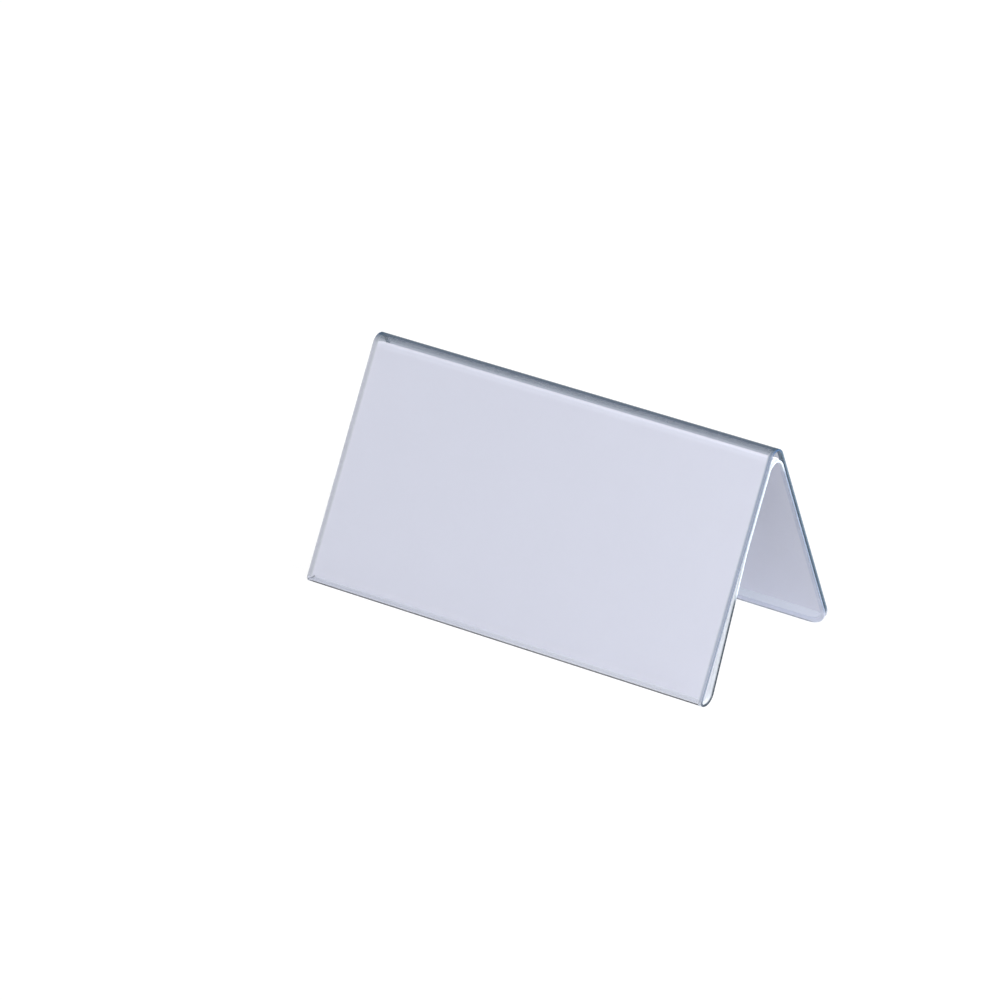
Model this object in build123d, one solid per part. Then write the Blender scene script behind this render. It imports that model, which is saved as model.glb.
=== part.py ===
from build123d import *
import os
from math import atan, cos, degrees, radians, sin, tan

# Place card holder: one clear sheet folded into a double tent, with a blank card in the pocket between its
# leaves. Millimetres and degrees. X runs along the fold, the front faces -Y and +Z is up. The origin lies
# on the table, in the middle of the footprint.

# Insert card: a standard blank, creased across its middle
CARD_WIDTH = 100.0
CARD_LENGTH = 104.0
CARD_THICKNESS = 0.25
CARD_SHIFT = -0.4
CREASE_RADIUS = 0.25

# Room for the card
CARD_CLEARANCE = 0.075
END_MARGIN = 0.7
FOOT_MARGIN = 0.4

# Clear sheet and its folds
SHEET = 0.5
FOLD_ANGLE = 52.0
FOLD_RADIUS = 2.2
INNER_FOLD_EASE = 0.4
CORNER_RADIUS = 5.0

# Hem at the front foot: a tight bend, a wide bend and a lead that leans back against the outer leaf
HEM_FRONT_RADIUS = 0.6
HEM_BACK_RADIUS = 2.5
HEM_LEAN = 5.0
LEAD_RADIUS = 20.0

# Angles and thicknesses shared by the sheet and the card
HALF = radians(FOLD_ANGLE / 2)
LEAN = radians(HEM_LEAN)
FOLD_TURN = 180 - FOLD_ANGLE
POCKET = CARD_THICKNESS + 2 * CARD_CLEARANCE
WALL = 2 * SHEET + POCKET
HOLDER_WIDTH = CARD_WIDTH + 2 * END_MARGIN

# Bend radii on the face that the section is walked along, outside the outer tent and inside the inner one
OUTER_FOLD = FOLD_RADIUS + SHEET
INNER_FOLD = FOLD_RADIUS + INNER_FOLD_EASE
HEM_FRONT = HEM_FRONT_RADIUS + SHEET
HEM_BACK = HEM_BACK_RADIUS + SHEET
CREASE = CREASE_RADIUS + CARD_THICKNESS
CARD_ROUND = INNER_FOLD + SHEET + CARD_CLEARANCE + CARD_THICKNESS

# Distances down a leaf, from the line where the flat outer faces would meet above the fold
OUTER_TANGENT = OUTER_FOLD / tan(HALF)
INNER_TANGENT = (WALL + INNER_FOLD) / tan(HALF)

# The card's crease lies at the front of the outer fold. Behind it a short flat slopes down to the inner
# fold, which bends the card on to the back leaf.
CARD_DEPTH = SHEET + CARD_CLEARANCE
CARD_TOP = INNER_TANGENT - OUTER_TANGENT
CREASE_TURN = 180 - 2 * degrees(atan((CARD_ROUND - CREASE) / CARD_TOP))
ROUND_TURN = FOLD_TURN - CREASE_TURN
HALF_CREASE = (CREASE - CARD_THICKNESS / 2) * radians(CREASE_TURN / 2)
CARD_FRONT = CARD_LENGTH / 2 - HALF_CREASE
CARD_BACK = CARD_FRONT - CARD_TOP - (CARD_ROUND - CARD_THICKNESS / 2) * radians(ROUND_TURN)

# The hem starts below the card's front edge. Its lowest point is level with the inner edge of the back
# leaf's cut end, on which that leaf stands.
HEM_START = OUTER_TANGENT + CARD_FRONT + FOOT_MARGIN
APEX_HEIGHT = (HEM_START + HEM_FRONT - HEM_BACK) * cos(HALF) + HEM_FRONT * sin(HALF) + HEM_BACK
LEAF = (APEX_HEIGHT - WALL * sin(HALF)) / cos(HALF)
LEAD_FALL = HEM_FRONT + HEM_BACK * cos(LEAN) - WALL - LEAD_RADIUS * (1 - cos(LEAN))
LEAD_FLAT = LEAD_FALL / sin(LEAN)
LEAD_SPAN = (HEM_BACK + LEAD_RADIUS) * sin(LEAN) + LEAD_FLAT * cos(LEAN)
LEAD_TOP = HEM_START - (HEM_BACK - HEM_FRONT) - LEAD_SPAN

# Footprint centred on the origin
FRONT_REACH = HEM_START * sin(HALF) + HEM_FRONT * (1 - cos(HALF))
BACK_REACH = LEAF * sin(HALF)
APEX = Vector((FRONT_REACH - BACK_REACH) / 2, APEX_HEIGHT)
DOWN_BACK = Vector(sin(HALF), -cos(HALF))
INTO_BACK = Vector(-cos(HALF), -sin(HALF))


def walk(start, heading, runs, inset):
    """Edges of one face of a bent strip, end to end.

    A run is (length,) for a flat or (radius, turn) for a bend, where a left turn is positive. Inset is how
    far this face lies to the left of the first one: every bend keeps its centre, so left bends tighten and
    right ones widen.
    """
    point = start + inset * heading.rotate(Axis.Z, 90)
    edges = []
    for run in runs:
        if len(run) == 1:
            edge = Line(point, point + run[0] * heading)
        else:
            radius, turn = run
            edge = JernArc(point, heading, radius - inset if turn > 0 else radius + inset, turn)
        edges.append(edge)
        point, heading = edge @ 1, edge % 1
    return edges


def bent_strip(start, runs, thickness, width):
    """Solid strip of that thickness and width, bent along runs from its free edge on the back leaf."""
    near = walk(start, -DOWN_BACK, runs, 0)
    far = walk(start, -DOWN_BACK, runs, thickness)
    first_end = Line(near[0] @ 0, far[0] @ 0)
    last_end = Line(near[-1] @ 1, far[-1] @ 1)
    section = make_face([*near, *far, first_end, last_end])
    return extrude(Plane.YZ * section, width / 2, both=True)


def make_clear_holder():
    """One sheet, from the outer back leaf over the fold, round the hem and back over the inner fold."""
    runs = [
        (LEAF - OUTER_TANGENT,),
        (OUTER_FOLD, FOLD_TURN),
        (HEM_START - OUTER_TANGENT,),
        (HEM_FRONT, 90),
        (HEM_BACK, 90 + HEM_LEAN),
        (LEAD_FLAT,),
        (LEAD_RADIUS, -HEM_LEAN),
        (LEAD_TOP - INNER_TANGENT,),
        (INNER_FOLD, -FOLD_TURN),
        (LEAF - INNER_TANGENT,),
    ]
    sheet = bent_strip(APEX + LEAF * DOWN_BACK, runs, SHEET, HOLDER_WIDTH)
    straight = sheet.edges().filter_by(GeomType.LINE)
    corners = straight.filter_by(lambda edge: edge.length < 2 * SHEET)
    return fillet(corners, CORNER_RADIUS)


def make_insert_card():
    """Blank card creased once, lying midway between the outer and inner leaves."""
    runs = [
        (CARD_BACK,),
        (CARD_ROUND, ROUND_TURN),
        (CARD_TOP,),
        (CREASE, CREASE_TURN),
        (CARD_FRONT,),
    ]
    start = APEX + CARD_DEPTH * INTO_BACK + (INNER_TANGENT + CARD_BACK) * DOWN_BACK
    return Pos(CARD_SHIFT, 0, 0) * bent_strip(start, runs, CARD_THICKNESS, CARD_WIDTH)


os.makedirs("parts", exist_ok=True)
export_step(make_clear_holder(), "parts/clear_holder.step")
export_step(make_insert_card(), "parts/insert_card.step")
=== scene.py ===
from functools import reduce
from math import atan, ceil, cos, pi, radians, sin, tan

import bpy
import numpy as np
from bpy.props import FloatProperty, FloatVectorProperty, PointerProperty
from bpy.types import Operator, Panel, PropertyGroup, Scene
from mathutils import Matrix, Vector


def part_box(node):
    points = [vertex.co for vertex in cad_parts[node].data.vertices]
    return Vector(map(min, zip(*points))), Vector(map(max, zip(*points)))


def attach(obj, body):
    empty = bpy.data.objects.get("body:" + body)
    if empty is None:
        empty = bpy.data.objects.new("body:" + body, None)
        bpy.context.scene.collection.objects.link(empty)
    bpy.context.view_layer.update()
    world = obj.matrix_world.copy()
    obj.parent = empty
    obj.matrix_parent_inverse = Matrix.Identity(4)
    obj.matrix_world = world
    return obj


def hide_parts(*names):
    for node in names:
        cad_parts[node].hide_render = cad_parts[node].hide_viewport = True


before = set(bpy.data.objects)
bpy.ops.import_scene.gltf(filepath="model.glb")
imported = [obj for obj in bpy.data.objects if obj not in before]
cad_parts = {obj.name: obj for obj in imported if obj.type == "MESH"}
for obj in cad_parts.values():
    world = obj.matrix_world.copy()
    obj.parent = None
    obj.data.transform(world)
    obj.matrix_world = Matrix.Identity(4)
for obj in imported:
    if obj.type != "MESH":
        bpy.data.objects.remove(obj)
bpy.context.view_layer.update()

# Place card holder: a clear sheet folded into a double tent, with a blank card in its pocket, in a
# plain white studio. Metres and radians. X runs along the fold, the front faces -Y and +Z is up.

bl_info = {
    "name": "Place card holder",
    "version": (1, 0, 0),
    "blender": (4, 5, 0),
    "location": "3D View > Sidebar > Place card",
    "description": "Builds a clear folded place card holder, its blank card and a plain white studio",
    "category": "Object",
}

MM = 0.001
HOLDER_LOW, HOLDER_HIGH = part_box("clear_holder")
CARD_LOW, CARD_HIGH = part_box("insert_card")

# How finely the meshes are cut
BEND_STEP = radians(2.5)
CORNER_STEPS = 16
ROUNDING_STEPS = 4
SUPPORT = 0.06 * MM

# Clear plastic
PLASTIC_IOR = 1.53

# Floor: what the camera sees of it is mostly its glow, and the rest keeps the shadow
FLOOR_SIZE = 6
FLOOR_LEVEL = -0.02 * MM
FLOOR_PALE = (0.8, 0.8, 0.8)
FLOOR_GLOW = 1.08
FLOOR_GLOW_SHARE = 0.9

# Sweep of painted shade and shadow, seen only in and through the plastic: its profile, and its tones
# from the near right to the far left
SWEEP_LEVEL = -0.01 * MM
SWEEP_FRONT = -0.5
SWEEP_BACK = 0.35
SWEEP_TOP = 0.9
SWEEP_RADIUS = 0.1
SWEEP_STEPS = 12
SWEEP_HALF_WIDTH = 2.0
SWEEP_TONES = (
    (0, (0.83, 0.85, 0.92)),
    (0.15, (0.72, 0.74, 0.83)),
    (0.25, (0.50, 0.54, 0.62)),
    (0.4, (0.52, 0.55, 0.63)),
    (0.62, (0.44, 0.46, 0.52)),
    (0.8, (0.38, 0.41, 0.47)),
)
# Painted shade of the dark room far behind
SWEEP_DARK = (0.17, 0.21, 0.26)

# Lamps and camera
WHITE = (1.0, 1.0, 1.0)
LAMP_TINT = (0.97, 0.98, 1.0)
CAMERA_AIM = (-18.379 * MM, 0.075 * MM, 19.352 * MM)
SENSOR_WIDTH = 36


def length(name, description, default):
    """A setting for a size in metres."""
    return FloatProperty(name=name, description=description, default=default, min=0,
                         unit="LENGTH", precision=5)


def angle(name, description, default):
    """A setting for an angle, written in degrees and kept in radians."""
    return FloatProperty(name=name, description=description, default=radians(default),
                         subtype="ANGLE")


def amount(name, description, default):
    """A setting for a plain number."""
    return FloatProperty(name=name, description=description, default=default, min=0, precision=3)


def colour(name, description, default):
    """A setting for a linear colour."""
    return FloatVectorProperty(name=name, description=description, default=default, size=3,
                               min=0, max=1, subtype="COLOR")


class HolderSettings(PropertyGroup):
    """Sizes and finish of the clear sheet."""

    width: length("Width", "Length of the fold", HOLDER_HIGH.x - HOLDER_LOW.x)
    depth: length("Depth", "Footprint from the hem to the back edge",
                  HOLDER_HIGH.y - HOLDER_LOW.y)
    sheet: length("Sheet", "Thickness of the clear sheet", 0.5 * MM)
    fold_angle: angle("Fold angle", "Angle between the two leaves", 52)
    fold_radius: length("Fold radius", "Inside radius of the outer fold", 2.2 * MM)
    inner_ease: length("Inner fold ease", "How much larger the inner fold's inside radius is",
                       0.4 * MM)
    corner: length("Corner radius", "Rounding of the free corners of the blank", 5 * MM)
    rounding: length("Edge rounding", "Rounding of the cut edges", 0.1 * MM)
    hem_front: length("Hem front radius", "Inside radius of the hem's tight front bend", 0.6 * MM)
    hem_back: length("Hem back radius", "Inside radius of the hem's wide back bend", 2.5 * MM)
    hem_lean: angle("Hem lean", "Angle at which the lead runs back to the outer leaf", 5)
    lead_radius: length("Lead radius", "Bend between the lead and the inner front leaf", 20 * MM)
    # The cut edge's opaque strip of painted light and shade reaches this far onto each face
    edge_reach: length("Edge reach",
                       "How far the cut edge's finish reaches onto the face away from the pocket",
                       0.15 * MM)
    pocket_reach: length("Pocket reach",
                         "How far it reaches onto the face that looks into the pocket", 1.0 * MM)
    tint: colour("Tint", "Colour of light that has passed the sheet", (0.955, 0.965, 0.995))
    # Painted shade in the transmission colour of the hem's tight bend
    hem_painted_shade: colour("Hem shade", "Colour of light that has passed the hem's tight bend",
                      (0.80, 0.81, 0.84))
    # Painted shade in the transmission colour of the outer fold's crown
    crown_painted_shade: colour("Fold shade", "Colour of light that has passed the crown of the outer fold",
                       (0.74, 0.76, 0.80))
    # Painted shade where the strip beside the front leaf's cut edge fades out
    margin: colour("Margin", "Colour where the strip beside the front leaf's cut edge fades out",
                   (0.77, 0.78, 0.82))
    # Painted shade: the thin dark line along the foot of the back leaf
    foot_edge: colour("Foot edge", "Colour of the thin line along the foot of the back leaf",
                      (0.30, 0.31, 0.34))
    # Painted shade beside that line
    foot_strip: colour("Foot strip", "Colour of the back leaf beside that line",
                       (0.77, 0.79, 0.88))
    # Painted shade on the cut edges of the outer back leaf
    dark_edge: colour("Dark edge", "Colour of the cut edges of the outer back leaf",
                      (0.09, 0.14, 0.19))
    # Painted shade on the cut edges of the outer fold
    fold_edge: colour("Fold edge", "Colour of the cut edges of the outer fold",
                      (0.04, 0.095, 0.21))
    # Painted shade on the right cut edge of the outer front leaf
    grey_edge: colour("Grey edge", "Colour of the right cut edge of the outer front leaf",
                      (0.19, 0.23, 0.30))
    # Painted shade on the right cut edge of the hem and the lead
    hem_edge: colour("Hem edge", "Colour of the right cut edge of the hem and the lead",
                     (0.02, 0.035, 0.05))
    # Painted shade along the outer front leaf's left cut edge
    left_margin: colour("Left margin", "Colour of the outer front leaf along its left cut edge",
                        (0.60, 0.61, 0.66))
    # Painted shade beside the outer front leaf's right cut edge, at the fold
    top_margin: colour("Top margin",
                       "Colour of the outer front leaf beside its right cut edge, at the fold",
                       (0.28, 0.34, 0.47))
    # Painted shade beside the outer front leaf's right cut edge, at the hem
    foot_margin: colour("Foot margin",
                        "Colour of the outer front leaf beside its right cut edge, at the hem",
                        (0.48, 0.52, 0.63))
    # Painted shade beside the inner back leaf's cut edges
    inner_margin: colour("Inner margin", "Colour of the inner back leaf beside its cut edges",
                         (0.72, 0.74, 0.84))
    # Painted light on the cut edges of the inner front leaf and fold
    bright_edge: colour("Bright edge", "Colour of the cut edges of the inner front leaf and fold",
                        (0.66, 0.74, 0.82))
    # Painted shade on the cut edges of the inner back leaf
    pale_edge: colour("Pale edge", "Colour of the cut edges of the inner back leaf",
                      (0.26, 0.31, 0.41))
    # Painted light beside the cut edges of the lead and the inner front leaf
    lead_margin: colour("Lead margin",
                        "Colour of the lead and the inner front leaf beside their cut edges",
                        (0.93, 0.97, 1.0))
    roughness: amount("Roughness", "Roughness of the polished faces", 0.015)


class CardSettings(PropertyGroup):
    """Sizes and finish of the blank card."""

    width: length("Width", "Width of the card along the fold", CARD_HIGH.x - CARD_LOW.x)
    thickness: length("Thickness", "Thickness of the card", 0.25 * MM)
    clearance: length("Clearance", "Gap between the card and the leaf on each side", 0.075 * MM)
    crease: length("Crease radius", "Inside radius of the crease across its middle", 0.25 * MM)
    corner: length("Corner radius", "Rounding of the card's corners", 0.3 * MM)
    rounding: length("Edge rounding", "Rounding of the cut edges", 0.03 * MM)
    paper: colour("Paper", "Colour of the card", (0.86, 0.852, 0.90))
    # Painted highlight: colour of the card beside its crease
    crease_painted_highlight: colour("Whitened paper", "Colour of the card beside its crease", (0.90, 0.892, 0.94))


class StageSettings(PropertyGroup):
    """Camera and light."""

    azimuth: angle("Azimuth", "How far the camera stands to the right of straight ahead", 33.829)
    elevation: angle("Elevation", "How far the camera looks down", 24.314)
    roll: angle("Roll", "Turn of the camera about its line of sight", 1.701)
    distance: length("Distance", "From the camera to the point that it looks at", 1391.1 * MM)
    lens: amount("Lens", "Focal length in millimetres on a 36 mm sensor", 233.02)
    ambient: amount("Ambient", "Strength of the even light from all round", 0.12)
    back: amount("Back", "Radiance of the soft lamp above and behind", 4.5)
    right: amount("Right", "Radiance of the soft lamp at the right", 28)
    left: amount("Left", "Radiance of the low soft lamp at the left", 16.8)


class Path:
    """A line in the YZ plane made of named flats and arcs, end to end.

    A run is (length, turn): its curvature is turn / length, so a flat has turn 0 and a left bend a
    positive one. After a way s along a run that starts at heading a, the line has moved s sinc(ks)
    ahead and s (ks/2) sinc(ks/2)^2 to the left, where k is the curvature and sinc(x) = sin(x) / x.
    """

    def __init__(self, start, heading, runs):
        self.lengths, self.turns = np.array(list(runs.values())).T
        self.curvature = self.turns / self.lengths
        self.begins = np.concatenate([[0.0], np.cumsum(self.lengths)])
        self.begin = dict(zip(runs, self.begins))
        self.total = self.begins[-1]
        self.headings = heading + np.concatenate([[0.0], np.cumsum(self.turns)[:-1]])
        moves = self.move(self.lengths, self.curvature, self.headings)
        moved = np.concatenate([np.zeros((1, 2)), np.cumsum(moves, axis=0)[:-1]])
        self.starts = np.array(start) + moved

    @staticmethod
    def move(way, curvature, heading):
        """Displacement after a way along runs of that curvature from that heading."""
        turn = way * curvature
        ahead = way * np.sinc(turn / pi)
        aside = way * turn / 2 * np.sinc(turn / (2 * pi)) ** 2
        y = ahead * np.cos(heading) - aside * np.sin(heading)
        z = ahead * np.sin(heading) + aside * np.cos(heading)
        return np.stack([y, z], axis=-1)

    def run_at(self, way):
        """Index of the run that a way along the line lies in."""
        run = np.searchsorted(self.begins, way, side="right") - 1
        return np.clip(run, 0, len(self.lengths) - 1)

    def at(self, way):
        """Points of the line and its unit normals to the left, for an array of ways along it."""
        run = self.run_at(way)
        local = way - self.begins[run]
        heading = self.headings[run] + local * self.curvature[run]
        points = self.starts[run] + self.move(local, self.curvature[run], self.headings[run])
        return points, np.stack([-np.sin(heading), np.cos(heading)], axis=-1)

    def stations(self, corner):
        """Ways at which a strip is cut.

        They lie close together along bends and the rounded end corners, and beside each bend on
        the flats.
        """
        cuts = []
        for begin, span, turn in zip(self.begins, self.lengths, self.turns):
            if turn:
                cuts.append(begin + np.linspace(0, span, ceil(abs(turn) / BEND_STEP) + 1))
            else:
                cuts.append(begin + np.array([SUPPORT, span - SUPPORT]))
        round_end = corner * (1 - np.cos(np.linspace(0, pi / 2, CORNER_STEPS + 1)))
        cuts += [round_end, self.total - round_end]
        cuts = np.sort(np.concatenate(cuts))
        return cuts[np.concatenate([[True], np.diff(cuts) > SUPPORT / 100])]


def bend(radius, turn):
    """Run of a bend with that radius on the strip's middle line."""
    return radius * abs(turn), turn


class Section:
    """Section of the holder and its card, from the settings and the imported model's box.

    The apex is the line where the flat outer faces of the two leaves would meet. Lengths down a
    leaf start there.
    """

    def __init__(self, holder, card):
        self.holder, self.card = holder, card
        half = self.half = holder.fold_angle / 2
        self.fold_turn = pi - holder.fold_angle
        self.wall = 2 * holder.sheet + card.thickness + 2 * card.clearance
        self.outer_fold = holder.fold_radius + holder.sheet
        self.inner_fold = holder.fold_radius + holder.inner_ease
        self.outer_tangent = self.outer_fold / tan(half)
        self.inner_tangent = (self.wall + self.inner_fold) / tan(half)
        self.hem_front = holder.hem_front + holder.sheet
        self.hem_back = holder.hem_back + holder.sheet
        # The hem's lowest point is level with the inner edge of the back leaf's cut end
        hem_beyond_leaf = (self.wall - self.hem_front) * tan(half) - self.hem_back / cos(half)
        hem_beyond_leaf += self.hem_back - self.hem_front
        both_leaves = (holder.depth - self.hem_front * (1 - cos(half))) / sin(half)
        self.leaf = (both_leaves - hem_beyond_leaf) / 2
        self.hem_start = self.leaf + hem_beyond_leaf
        self.down = np.array([sin(half), -cos(half)])
        self.inward = np.array([-cos(half), -sin(half)])
        self.apex = np.array([HOLDER_HIGH.y - self.leaf * sin(half),
                              self.leaf * cos(half) + self.wall * sin(half)])
        self.heading = pi / 2 + half

    def sheet_path(self):
        """Middle of the sheet, from the foot of the outer back leaf to the foot of the inner one.

        It goes up the outer back leaf, over the fold, round the hem and back over the inner fold.
        """
        middle = self.holder.sheet / 2
        lean, lead_radius = self.holder.hem_lean, self.holder.lead_radius
        lead_fall = self.hem_front + self.hem_back * cos(lean) - self.wall
        lead_fall -= lead_radius * (1 - cos(lean))
        lead_flat = lead_fall / sin(lean)
        lead_top = self.hem_start - (self.hem_back - self.hem_front)
        lead_top -= (self.hem_back + lead_radius) * sin(lean) + lead_flat * cos(lean)
        runs = {
            "outer_back": (self.leaf - self.outer_tangent, 0),
            "fold": bend(self.outer_fold - middle, self.fold_turn),
            "front": (self.hem_start - self.outer_tangent, 0),
            "hem_front": bend(self.hem_front - middle, pi / 2),
            "hem_back": bend(self.hem_back - middle, pi / 2 + lean),
            "lead": (lead_flat, 0),
            "lead_bend": bend(lead_radius + middle, -lean),
            "inner_front": (lead_top - self.inner_tangent, 0),
            "inner_fold": bend(self.inner_fold + middle, -self.fold_turn),
            "inner_back": (self.leaf - self.inner_tangent, 0),
        }
        start = self.apex + self.leaf * self.down + middle * self.inward
        return Path(start, self.heading, runs)

    def card_path(self):
        """Middle of the card, from its back edge to its front edge.

        It goes up the back leaf, round the inner fold, along a short flat to the crease and down
        the front. The crease lies at the front of the outer fold. Its circle and the one round the
        inner fold both touch the front leaf, and the short flat is their other common tangent.
        """
        card, middle = self.card, self.card.thickness / 2
        under = self.holder.sheet + card.clearance
        crease = card.crease + card.thickness
        over_fold = self.inner_fold + under + card.thickness
        top = self.inner_tangent - self.outer_tangent
        crease_turn = pi - 2 * atan((over_fold - crease) / top)
        front_drop = self.apex[1] - (under + card.thickness) * sin(self.half) - CARD_LOW.z
        front = front_drop / cos(self.half)
        back = (CARD_HIGH.y - self.apex[0] + under * cos(self.half)) / sin(self.half)
        runs = {
            "back": (back - self.inner_tangent, 0),
            "over_fold": bend(over_fold - middle, self.fold_turn - crease_turn),
            "top": (top, 0),
            "crease": bend(crease - middle, crease_turn),
            "front": (front - self.outer_tangent, 0),
        }
        start = self.apex + back * self.down + (under + middle) * self.inward
        return Path(start, self.heading, runs)


def rim_profile(thickness, rounding, reaches):
    """Half of a strip's cross-section, from its left face round the cut edge to the other face.

    Gives how far each point lies in from the edge, how far from the middle, and how much it belongs
    to the cut edge, which is a half where the rounding starts: two quarter circles of the
    rounding's radius, with one point at that face's reach further in.
    """
    turn = np.linspace(0, pi / 2, ROUNDING_STEPS + 1)
    inset = rounding * (1 - np.sin(turn))
    height = thickness / 2 - rounding * (1 - np.cos(turn))
    cut = (1 + np.sin(turn)) / 2
    left, right = reaches
    inset = np.concatenate([[rounding + left], inset, inset[::-1], [rounding + right]])
    height = np.concatenate([[thickness / 2], height, -height[::-1], [-thickness / 2]])
    return inset, height, np.concatenate([[0.0], cut, cut[::-1], [0.0]])


def both_sides(values, sign=1):
    """Values along half rings, followed by their mirror image, so that each ring is closed."""
    return np.concatenate([values, sign * values[:, ::-1]], axis=1)


def ring_faces(rows, columns):
    """Quads between rings of vertices that follow one another, and the quads that close both ends.

    The second half of a ring mirrors the first, so an end is closed by quads from side to side.
    """
    index = np.arange(rows * columns).reshape(rows, columns)
    following = np.roll(index, -1, axis=1)
    walls = np.stack([index[:-1], following[:-1], following[1:], index[1:]], axis=-1)
    near, far = index[[0, -1], :columns // 2], index[[0, -1], :columns // 2 - 1:-1]
    caps = np.stack([near[:, :-1], near[:, 1:], far[:, 1:], far[:, :-1]], axis=-1)
    return walls.reshape(-1, 4), np.concatenate([caps[0, :, ::-1], caps[1]])


def bent_strip(name, path, centre, width, thickness, corner, rounding, reaches, left_until):
    """Mesh of a flat strip with rounded corners, bent along a path.

    The rim's profile is carried along both long sides of the flat blank. Near an end, at a distance
    d from it, the half width shrinks to width/2 - corner + sqrt(corner^2 - (corner - d)^2), and the
    profile turns to face the corner. A point of the blank at (x, way, height) then goes to the
    path's point at that way, moved by height along its normal. The cut edge's material, which on the
    clear sheet is painted light and shade, takes in the reach on both faces, but on the left face at
    the -X side only up to left_until.
    """
    way = path.stations(corner)
    lean = np.clip(corner - np.minimum(way, path.total - way), 0, corner) / corner
    side = np.sqrt(1 - lean ** 2)
    along = np.where(way < path.total / 2, -lean, lean)
    half = width / 2 - corner * (1 - side)
    inset, height, cut = rim_profile(thickness, rounding, reaches)
    blank_way = way[:, None] - along[:, None] * inset
    blank_x = half[:, None] - side[:, None] * inset
    height, cut = (np.broadcast_to(values, blank_x.shape) for values in (height, cut))
    points, normals = path.at(blank_way)
    y, z = np.moveaxis(points + height[..., None] * normals, -1, 0)
    blank = np.stack([both_sides(blank_x, -1), both_sides(blank_way), both_sides(height)], axis=-1)
    rings = np.stack([blank[..., 0] + centre, both_sides(y), both_sides(z)], axis=-1)
    rows, columns = rings.shape[:2]
    walls, caps = ring_faces(rows, columns)
    faces = np.concatenate([walls, caps])

    # Slot 0 is for the two flat faces and slot 1 for the rim. The last quad but one of a ring is
    # the reach on the left face at the -X side.
    on_rim = np.ones((rows - 1, columns), bool)
    on_rim[:, [columns // 2 - 1, -1]] = False
    on_rim[way[:-1] >= left_until, -2] = False
    slots = np.append(on_rim, np.ones(len(caps), bool)).astype(np.int32)

    mesh = bpy.data.meshes.new(name)
    mesh.from_pydata(rings.reshape(-1, 3), [], faces)
    mesh.polygons.foreach_set("use_smooth", np.ones(len(faces), bool))
    mesh.polygons.foreach_set("material_index", slots)
    curvature = np.abs(path.curvature[path.run_at(blank_way)])
    set_attribute(mesh, "cut_edge", "FLOAT", both_sides(cut))
    set_attribute(mesh, "bend", "FLOAT", np.clip(both_sides(curvature) * thickness, 0, 1))
    set_attribute(mesh, "blank", "FLOAT_VECTOR", blank)
    return mesh


def set_attribute(mesh, name, kind, values):
    """Stores one value for each vertex under that name."""
    attribute = mesh.attributes.new(name, kind, "POINT")
    field = "vector" if kind == "FLOAT_VECTOR" else "value"
    attribute.data.foreach_set(field, np.ascontiguousarray(values, np.float32).ravel())


class Value:
    """An output socket of a shader node, on which plain arithmetic adds Math nodes."""

    def __init__(self, shader, socket):
        self.shader, self.socket = shader, socket

    def __add__(self, other):
        return self.shader.math("ADD", self, other)

    def __sub__(self, other):
        return self.shader.math("SUBTRACT", self, other)

    def __rsub__(self, other):
        return self.shader.math("SUBTRACT", other, self)

    def __mul__(self, other):
        return self.shader.math("MULTIPLY", self, other)

    def __truediv__(self, other):
        return self.shader.math("DIVIDE", self, other)

    def __rtruediv__(self, other):
        return self.shader.math("DIVIDE", other, self)

    def __abs__(self):
        return self.shader.math("ABSOLUTE", self)

    def over(self, other):
        """The larger of the two."""
        return self.shader.math("MAXIMUM", self, other)

    __radd__ = __add__
    __rmul__ = __mul__


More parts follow.
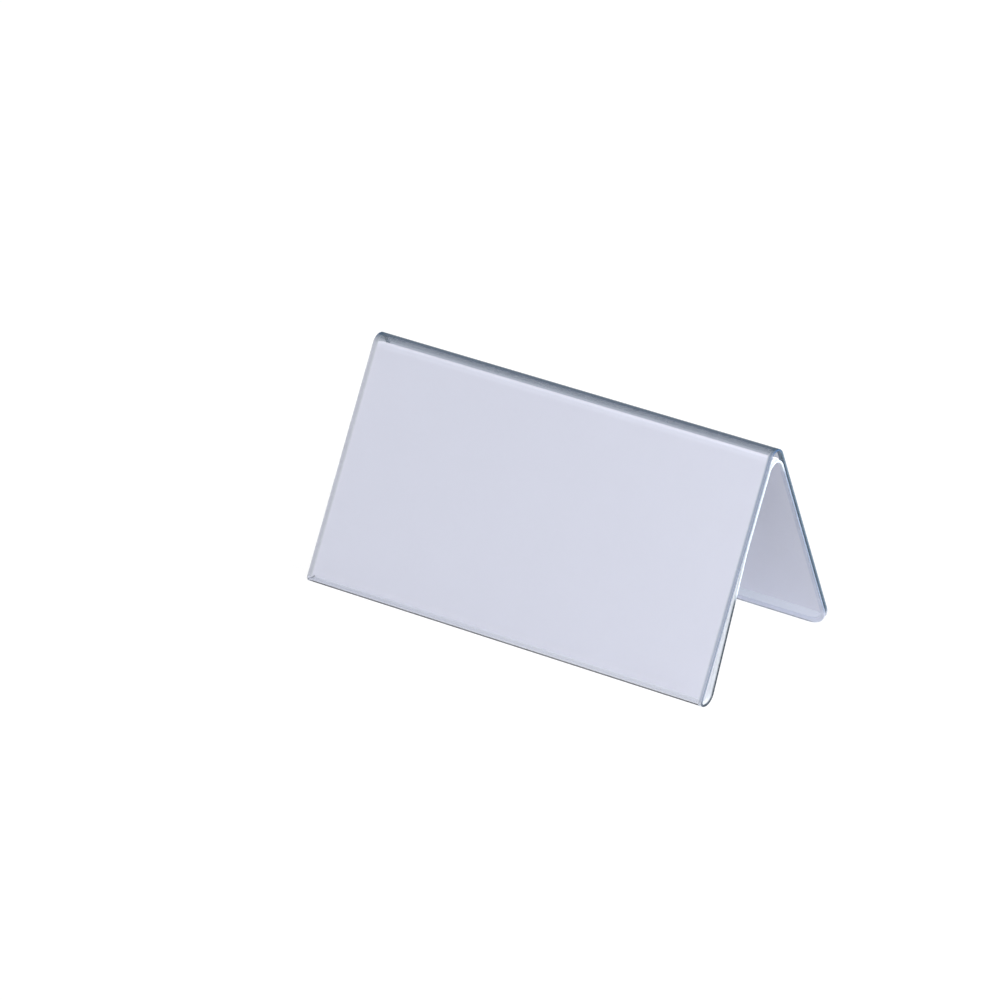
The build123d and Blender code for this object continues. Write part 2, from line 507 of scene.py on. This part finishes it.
class Shader:
    """A node tree that is filled from Python expressions."""

    def __init__(self, tree):
        self.tree = tree
        tree.nodes.clear()

    def node(self, kind, settings=None, sockets=None, output=0):
        """Adds a node of that type, with its settings, then its sockets' values or links.

        Returns one of its outputs.
        """
        node = self.tree.nodes.new(kind)
        for name, value in (settings or {}).items():
            if name == "stops":
                self.set_stops(node.color_ramp.elements, value)
            else:
                setattr(node, name, value)
        for name, value in (sockets or {}).items():
            if isinstance(value, Value):
                self.tree.links.new(value.socket, node.inputs[name])
            else:
                node.inputs[name].default_value = value
        return Value(self, node.outputs[output]) if len(node.outputs) else None

    @staticmethod
    def set_stops(elements, stops):
        """Gives a ramp these stops, each a place from 0 to 1 and a colour."""
        while len(elements) < len(stops):
            elements.new(1.0)
        for element, (place, tone) in zip(elements, stops):
            element.position, element.color = place, opaque(tone)

    def math(self, operation, first, second=0.0):
        """One step of arithmetic."""
        return self.node("ShaderNodeMath", {"operation": operation}, {0: first, 1: second})

    def attribute(self, name, output="Fac"):
        """What the mesh stores under that name."""
        return self.node("ShaderNodeAttribute", {"attribute_name": name}, output=output)

    def part(self, vector, axis):
        """One part of a vector: X, Y or Z."""
        return self.node("ShaderNodeSeparateXYZ", {}, {0: vector}, axis)

    def noise(self, place, scale, detail, stretch=(1, 1, 1)):
        """Noise from 0 to 1 with that many patches to the metre, packed closer by the stretch."""
        multiply = {"operation": "MULTIPLY"}
        place = self.node("ShaderNodeVectorMath", multiply, {0: place, 1: stretch})
        sockets = {"Vector": place, "Scale": scale, "Detail": detail}
        return self.node("ShaderNodeTexNoise", {}, sockets, "Fac")

    def ramp(self, value, low, high):
        """0 at low and 1 at high, with a smooth step between."""
        settings = {"interpolation_type": "SMOOTHSTEP"}
        sockets = {"Value": value, "From Min": low, "From Max": high}
        return self.node("ShaderNodeMapRange", settings, sockets)

    def ramp_colours(self, value, stops):
        """Colour that runs through the stops as the value goes from 0 to 1."""
        return self.node("ShaderNodeValToRGB", {"stops": stops}, {"Fac": value}, "Color")

    def mix(self, share, first, second):
        """Colour that goes from the first to the second with the share."""
        sockets = {"Factor": share, 6: opaque(first), 7: opaque(second)}
        return self.node("ShaderNodeMix", {"data_type": "RGBA"}, sockets, 2)

    def bump(self, height, distance):
        """Normal of a surface with that height, from 0 to 1, over that distance."""
        sockets = {"Height": height, "Distance": distance, "Strength": 1.0}
        return self.node("ShaderNodeBump", {}, sockets)

    def rays(self, *kinds):
        """1 for rays of any of these kinds, else 0."""
        return reduce(Value.over, [self.node("ShaderNodeLightPath", output=kind) for kind in kinds])

    def blend(self, share, first, second):
        """Shader that goes from the first to the second with the share."""
        return self.node("ShaderNodeMixShader", {}, {"Fac": share, 1: first, 2: second})


def opaque(value):
    """A colour with full alpha, or a socket as it is."""
    return value if isinstance(value, Value) else (*value, 1.0)


def darker(tone, share):
    """A colour with that share of its light."""
    return tuple(channel * share for channel in tone)


def new_material(name):
    """A material and the shader that fills it."""
    material = bpy.data.materials.new(name)
    material.use_nodes = True
    return material, Shader(material.node_tree)


def lit_through(shader, surface, tint):
    """Shader that lets rays to lamps and scattered light straight through to the card behind it."""
    passing = shader.rays("Is Shadow Ray", "Is Diffuse Ray")
    clear = shader.node("ShaderNodeBsdfTransparent", {}, {"Color": opaque(tint)})
    return shader.blend(passing, surface, clear)


def clear_plastic(holder, section):
    """Clear glossy sheet, with painted shade in the hem's tight bend and in the crown of the outer
    fold.

    It has faint scratches along the fold and a slight ripple, and is duller where it is rubbed or
    bent.
    """
    material, shader = new_material("clear_plastic")
    blank = shader.attribute("blank", "Vector")
    way = shader.part(blank, "Y")
    begin = section.sheet_path().begin
    fold, front = begin["fold"], begin["front"]
    hem, hem_back = begin["hem_front"], begin["hem_back"]
    # Painted shade, mixed into the transmission colour, in the hem's tight bend and the outer fold's
    # crown
    blur = 0.5 * MM
    before_hem = shader.ramp(way, low=hem, high=hem - blur)
    after_hem = shader.ramp(way, low=hem_back, high=hem_back + blur)
    off_crown = abs(way - (fold + front) / 2)
    side_of_crown = shader.ramp(off_crown, low=0.12 * (front - fold), high=0.33 * (front - fold))
    faces = shader.mix(side_of_crown, holder.crown_painted_shade, holder.tint)
    rubbed = shader.ramp(shader.noise(blank, scale=90, detail=3.0), low=0.45, high=0.75)
    streaks = shader.noise(blank, scale=260, detail=1.0, stretch=(1, 14, 1))
    scratch = shader.ramp(streaks, low=0.70, high=0.76)
    ripple = shader.noise(blank, scale=45, detail=1.0) + scratch * 0.02
    bent = shader.attribute("bend")
    surface = shader.node("ShaderNodeBsdfPrincipled", {}, {
        "Base Color": shader.mix(before_hem.over(after_hem), holder.hem_painted_shade, faces),
        "Roughness": rubbed * 0.012 + scratch * 0.02 + bent * 0.08 + holder.roughness,
        "Normal": shader.bump(ripple, distance=0.006 * MM),
        "IOR": PLASTIC_IOR,
        "Transmission Weight": 1.0,
    })
    lit = lit_through(shader, surface, holder.tint)
    shader.node("ShaderNodeOutputMaterial", {}, {"Surface": lit})
    return material


def cut_edge(holder, section):
    """Cut edge of the sheet, whose tones are painted light and shade for the light that runs inside
    the sheet to its edges.

    It is painted dark where the sheet looks into the room and painted light where it looks at the
    card. The strip beside it on the faces is painted light and shade too, and a thin line of painted
    shade follows the foot of the back leaf.
    """
    material, shader = new_material("cut_edge")
    blank = shader.attribute("blank", "Vector")
    across, way = shader.part(blank, "X"), shader.part(blank, "Y")
    path = section.sheet_path()
    begin, total = path.begin, path.total
    fold, front, hem = begin["fold"], begin["front"], begin["hem_front"]
    inner_back = begin["inner_back"]
    over_crown = fold + 0.55 * (front - fold)
    lead_turn = begin["lead"] + 0.68 * (begin["lead_bend"] - begin["lead"])
    foot, blur = 2.5 * MM, 1 * MM

    def along(fold_tone, front_tone, hem_margin, hem_tone, lead_tone, inner_tone):
        """Painted light and shade along the sheet, from the foot of the outer back leaf to that of
        the inner one.
        """
        stops = [
            (foot, holder.foot_strip),
            (2 * foot, holder.dark_edge),
            (fold, holder.dark_edge),
            (over_crown, fold_tone),
            (front, front_tone),
            (hem, hem_margin),
            (hem + blur, hem_tone),
            (lead_turn - blur, hem_tone),
            (lead_turn + blur, lead_tone),
            (inner_back, lead_tone),
            (inner_back + foot, inner_tone),
            (total - 2 * foot, inner_tone),
            (total - foot, holder.foot_strip),
        ]
        return shader.ramp_colours(way / total, [(place / total, tone) for place, tone in stops])

    # Painted light and shade at the cut ends and in the strips beside them, on the left and right
    # sides
    left_end = along(holder.fold_edge, holder.left_margin, holder.left_margin, holder.left_margin,
                     holder.bright_edge, holder.pale_edge)
    right_end = along(holder.fold_edge, holder.grey_edge, holder.grey_edge, holder.hem_edge,
                      holder.bright_edge, holder.pale_edge)
    left_strip = along(holder.dark_edge, holder.left_margin, holder.left_margin,
                       holder.lead_margin, holder.lead_margin, holder.inner_margin)
    right_strip = along(holder.dark_edge, holder.top_margin, holder.foot_margin,
                        holder.lead_margin, holder.lead_margin, holder.inner_margin)
    faded = along(holder.dark_edge, holder.margin, holder.margin,
                  holder.lead_margin, holder.lead_margin, holder.inner_margin)
    side = shader.ramp(across, low=-holder.width / 4, high=holder.width / 4)
    cut = shader.attribute("cut_edge")
    beside_cut = shader.mix(side, left_strip, right_strip)
    strip = shader.mix(shader.ramp(cut, low=0, high=0.25), faded, beside_cut)
    end = shader.mix(side, left_end, right_end)
    tone = shader.mix(shader.ramp(cut, low=0.3, high=0.6), strip, end)
    off_middle = abs(way - total / 2)
    # Painted shade: a thin dark line at the foot of each back leaf
    foot_line = shader.ramp(off_middle, low=total / 2 - 0.25 * MM, high=total / 2 - 0.1 * MM)
    grain = shader.noise(blank, scale=900, detail=2.0, stretch=(1, 1, 4))
    surface = shader.node("ShaderNodeBsdfPrincipled", {}, {
        "Base Color": shader.mix(foot_line, tone, holder.foot_edge),
        "Roughness": grain * 0.2 + 0.15,
        "Normal": shader.bump(grain, distance=0.01 * MM),
        "IOR": PLASTIC_IOR,
    })
    lit = lit_through(shader, surface, holder.tint)
    shader.node("ShaderNodeOutputMaterial", {}, {"Surface": lit})
    return material


def white_card(card, section):
    """Smooth matt card: fine fibres, faint clouds, a painted highlight beside the crease and a darker
    cut edge.
    """
    material, shader = new_material("white_card")
    blank = shader.attribute("blank", "Vector")
    cut = shader.attribute("cut_edge")
    fibres = shader.noise(blank, scale=2600, detail=3.0, stretch=(1, 2.5, 1))
    cloud = shader.noise(blank, scale=140, detail=3.0)
    off_crease = abs(shader.part(blank, "Y") - section.card_path().begin["front"])
    away_from_crease = shader.ramp(off_crease, low=0.2 * MM, high=1.1 * MM)
    tone = shader.mix(fibres * 0.35 + cloud * 0.35, card.paper, darker(card.paper, 0.955))
    # Painted highlight beside the crease
    tone = shader.mix(away_from_crease, card.crease_painted_highlight, tone)
    surface = shader.node("ShaderNodeBsdfPrincipled", {}, {
        "Base Color": shader.mix(cut * 0.8, tone, darker(card.paper, 0.9)),
        "Roughness": fibres * 0.12 + 0.78,
        "Normal": shader.bump(fibres * 0.8 + cloud * 0.2, distance=0.012 * MM),
        "Specular IOR Level": 0.3,
    })
    shader.node("ShaderNodeOutputMaterial", {}, {"Surface": surface})
    return material


def add_piece(mesh, faces, edges, body, node):
    """Object for a mesh with a material for its faces and one for its cut edges, in place of a CAD
    node.
    """
    mesh.materials.append(faces)
    mesh.materials.append(edges)
    piece = bpy.data.objects.new(mesh.name, mesh)
    bpy.context.scene.collection.objects.link(piece)
    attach(piece, body)
    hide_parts(node)


class MakeClearHolder(Operator):
    """Bend the clear sheet and give it its materials, with painted light and shade on its cut edges,
    hem and fold
    """

    bl_idname = "place_card.clear_holder"
    bl_label = "Clear holder"

    def execute(self, context):
        holder = context.scene.place_card_holder
        section = Section(holder, context.scene.place_card_card)
        path = section.sheet_path()
        centre = (HOLDER_LOW.x + HOLDER_HIGH.x) / 2
        reaches = holder.pocket_reach, holder.edge_reach
        mesh = bent_strip("clear_sheet", path, centre, holder.width, holder.sheet, holder.corner,
                          holder.rounding, reaches, left_until=path.begin["hem_front"])
        faces, edges = clear_plastic(holder, section), cut_edge(holder, section)
        add_piece(mesh, faces, edges, "holder", "clear_holder")
        return {"FINISHED"}


class MakeInsertCard(Operator):
    """Fold the blank card and give it its paper, with a painted highlight beside the crease"""

    bl_idname = "place_card.insert_card"
    bl_label = "Insert card"

    def execute(self, context):
        card = context.scene.place_card_card
        section = Section(context.scene.place_card_holder, card)
        path = section.card_path()
        centre = (CARD_LOW.x + CARD_HIGH.x) / 2
        reaches = SUPPORT, SUPPORT
        mesh = bent_strip("folded_card", path, centre, card.width, card.thickness, card.corner,
                          card.rounding, reaches, left_until=path.total)
        paper = white_card(card, section)
        add_piece(mesh, paper, paper, "card", "insert_card")
        return {"FINISHED"}


def seen_directly(shader):
    """1 for what the camera sees, also by reflection or through clear plastic, else 0."""
    return shader.rays("Is Camera Ray", "Is Glossy Ray", "Is Transmission Ray")


def light_world(stage):
    """Even light from all round, which is white where it is seen."""
    world = bpy.data.worlds.new("studio")
    world.use_nodes = True
    shader = Shader(world.node_tree)
    light = {"Color": opaque(WHITE), "Strength": stage.ambient}
    even = shader.node("ShaderNodeBackground", {}, light)
    white = shader.node("ShaderNodeBackground", {}, {**light, "Strength": 1.0})
    surface = shader.blend(seen_directly(shader), even, white)
    shader.node("ShaderNodeOutputWorld", {}, {"Surface": surface})
    bpy.context.scene.world = world


def add_backdrop(name, points, faces, material):
    """Object of the studio, which isn't part of the holder."""
    mesh = bpy.data.meshes.new(name)
    mesh.from_pydata(points, [], faces)
    mesh.materials.append(material)
    backdrop = bpy.data.objects.new(name, mesh)
    bpy.context.scene.collection.objects.link(backdrop)
    return backdrop


def white_floor():
    """White where it is seen, with a faint shadow, and plain pale for the light it sends back."""
    material, shader = new_material("white_floor")
    pale = shader.node("ShaderNodeBsdfDiffuse", {}, {"Color": opaque(FLOOR_PALE)})
    glow = {"Color": opaque(WHITE), "Strength": FLOOR_GLOW}
    white = shader.node("ShaderNodeEmission", {}, glow)
    surface = shader.blend(seen_directly(shader) * FLOOR_GLOW_SHARE, pale, white)
    shader.node("ShaderNodeOutputMaterial", {}, {"Surface": surface})
    return material


def lay_floor():
    """Square of floor, just under the part."""
    x = np.array([-1, 1, 1, -1]) * FLOOR_SIZE / 2
    y = np.array([-1, -1, 1, 1]) * FLOOR_SIZE / 2
    corners = np.stack([x, y, np.full(4, FLOOR_LEVEL)], axis=-1)
    add_backdrop("floor", corners, [(0, 1, 2, 3)], white_floor())


def painted_shade_glow():
    """Glowing grey of painted shade, darker towards the back and the left as a painted shadow of the
    part, and dark from one depth on.
    """
    material, shader = new_material("painted_shade_sweep")
    place = shader.node("ShaderNodeTexCoord", output="Object")
    aside, depth = shader.part(place, "X"), shader.part(place, "Y")
    # The slant runs the painted shadow back and to the left, away from the lamp at the right
    slant, start, rate = 0.5, 0.03, 5
    near = shader.ramp_colours((depth - aside * slant + start) * rate, SWEEP_TONES)
    grey = shader.mix(shader.ramp(depth, low=100 * MM, high=114 * MM), near, SWEEP_DARK)
    glow = shader.node("ShaderNodeEmission", {}, {"Color": grey, "Strength": 1.0})
    shader.node("ShaderNodeOutputMaterial", {}, {"Surface": glow})
    return material


def hang_sweep():
    """Glowing sheet of painted shade and shadow under and behind the part, which shows only in and
    through the plastic.

    Its profile goes back along the floor, round a quarter circle and up, and is carried straight
    along X.
    """
    turn = np.linspace(0, pi / 2, SWEEP_STEPS + 1)
    wall = SWEEP_BACK + SWEEP_RADIUS
    y = np.concatenate([[SWEEP_FRONT], SWEEP_BACK + SWEEP_RADIUS * np.sin(turn), [wall]])
    z = np.concatenate([[0], SWEEP_RADIUS * (1 - np.cos(turn)), [SWEEP_TOP]]) + SWEEP_LEVEL
    x = np.repeat([-SWEEP_HALF_WIDTH, SWEEP_HALF_WIDTH], len(y))
    points = np.stack([x, np.tile(y, 2), np.tile(z, 2)], axis=-1)
    index = np.arange(len(y) - 1)
    faces = np.stack([index, index + len(y), index + len(y) + 1, index + 1], axis=-1)
    sweep = add_backdrop("painted_shade_sweep", points, faces, painted_shade_glow())
    sweep.visible_camera = sweep.visible_diffuse = sweep.visible_shadow = False


def soft_lamp(name, radiance, place, target, width, height):
    """Rectangular area lamp of that radiance at a place, facing a target."""
    lamp = bpy.data.lights.new(name, "AREA")
    lamp.shape = "RECTANGLE"
    lamp.size, lamp.size_y = width, height
    lamp.energy = radiance * pi * width * height
    lamp.color = LAMP_TINT
    lamp_object = bpy.data.objects.new(name, lamp)
    lamp_object.location = place
    backwards = Vector(place) - Vector(target)
    lamp_object.rotation_euler = backwards.to_track_quat("Z", "Y").to_euler()
    bpy.context.scene.collection.objects.link(lamp_object)


def add_camera(stage):
    """Camera at the photographed angle.

    Its axes come from azimuth and elevation, then turn by the roll.
    """
    back = Vector((sin(stage.azimuth) * cos(stage.elevation),
                   -cos(stage.azimuth) * cos(stage.elevation), sin(stage.elevation)))
    level = Vector((cos(stage.azimuth), sin(stage.azimuth), 0))
    upright = back.cross(level)
    right = cos(stage.roll) * level + sin(stage.roll) * upright
    up = cos(stage.roll) * upright - sin(stage.roll) * level
    place = Matrix.Translation(Vector(CAMERA_AIM) + stage.distance * back)
    data = bpy.data.cameras.new("camera")
    data.lens = stage.lens
    data.sensor_width = SENSOR_WIDTH
    data.clip_start = 10 * MM
    camera = bpy.data.objects.new("camera", data)
    camera.matrix_world = place @ Matrix((right, up, back)).transposed().to_4x4()
    bpy.context.scene.collection.objects.link(camera)
    bpy.context.scene.camera = camera


class MakeStage(Operator):
    """Lay the floor, hang the lamps and place the camera"""

    bl_idname = "place_card.stage"
    bl_label = "Stage"

    def execute(self, context):
        stage = context.scene.place_card_stage
        context.scene.view_settings.view_transform = "Standard"
        lay_floor()
        light_world(stage)
        hang_sweep()
        soft_lamp("back", stage.back, place=(0.15, 0.7, 0.9), target=(0, 0, 0.03),
                  width=0.6, height=0.6)
        soft_lamp("right", stage.right, place=(0.8, -0.1, 0.4), target=(0.05, 0, 0),
                  width=0.4, height=0.3)
        soft_lamp("left", stage.left, place=(-0.9, -0.35, 0.1), target=(0, 0, 0.03),
                  width=0.4, height=0.3)
        add_camera(stage)
        return {"FINISHED"}


class PlaceCardPanel(Panel):
    """Lists the settings and the steps"""

    bl_idname = "VIEW3D_PT_place_card"
    bl_label = "Place card holder"
    bl_space_type = "VIEW_3D"
    bl_region_type = "UI"
    bl_category = "Place card"

    def draw(self, context):
        for group, step in ((context.scene.place_card_holder, MakeClearHolder),
                            (context.scene.place_card_card, MakeInsertCard),
                            (context.scene.place_card_stage, MakeStage)):
            box = self.layout.box()
            for name in group.__annotations__:
                box.prop(group, name)
            box.operator(step.bl_idname)


CLASSES = (HolderSettings, CardSettings, StageSettings, MakeClearHolder, MakeInsertCard, MakeStage,
           PlaceCardPanel)


def register():
    for cls in CLASSES:
        bpy.utils.register_class(cls)
    Scene.place_card_holder = PointerProperty(type=HolderSettings)
    Scene.place_card_card = PointerProperty(type=CardSettings)
    Scene.place_card_stage = PointerProperty(type=StageSettings)


def unregister():
    del Scene.place_card_stage, Scene.place_card_card, Scene.place_card_holder
    for cls in reversed(CLASSES):
        bpy.utils.unregister_class(cls)


def main():
    """Makes the pieces and the stage."""
    register()
    bpy.ops.place_card.clear_holder()
    bpy.ops.place_card.insert_card()
    bpy.ops.place_card.stage()


if __name__ == "__main__":
    main()
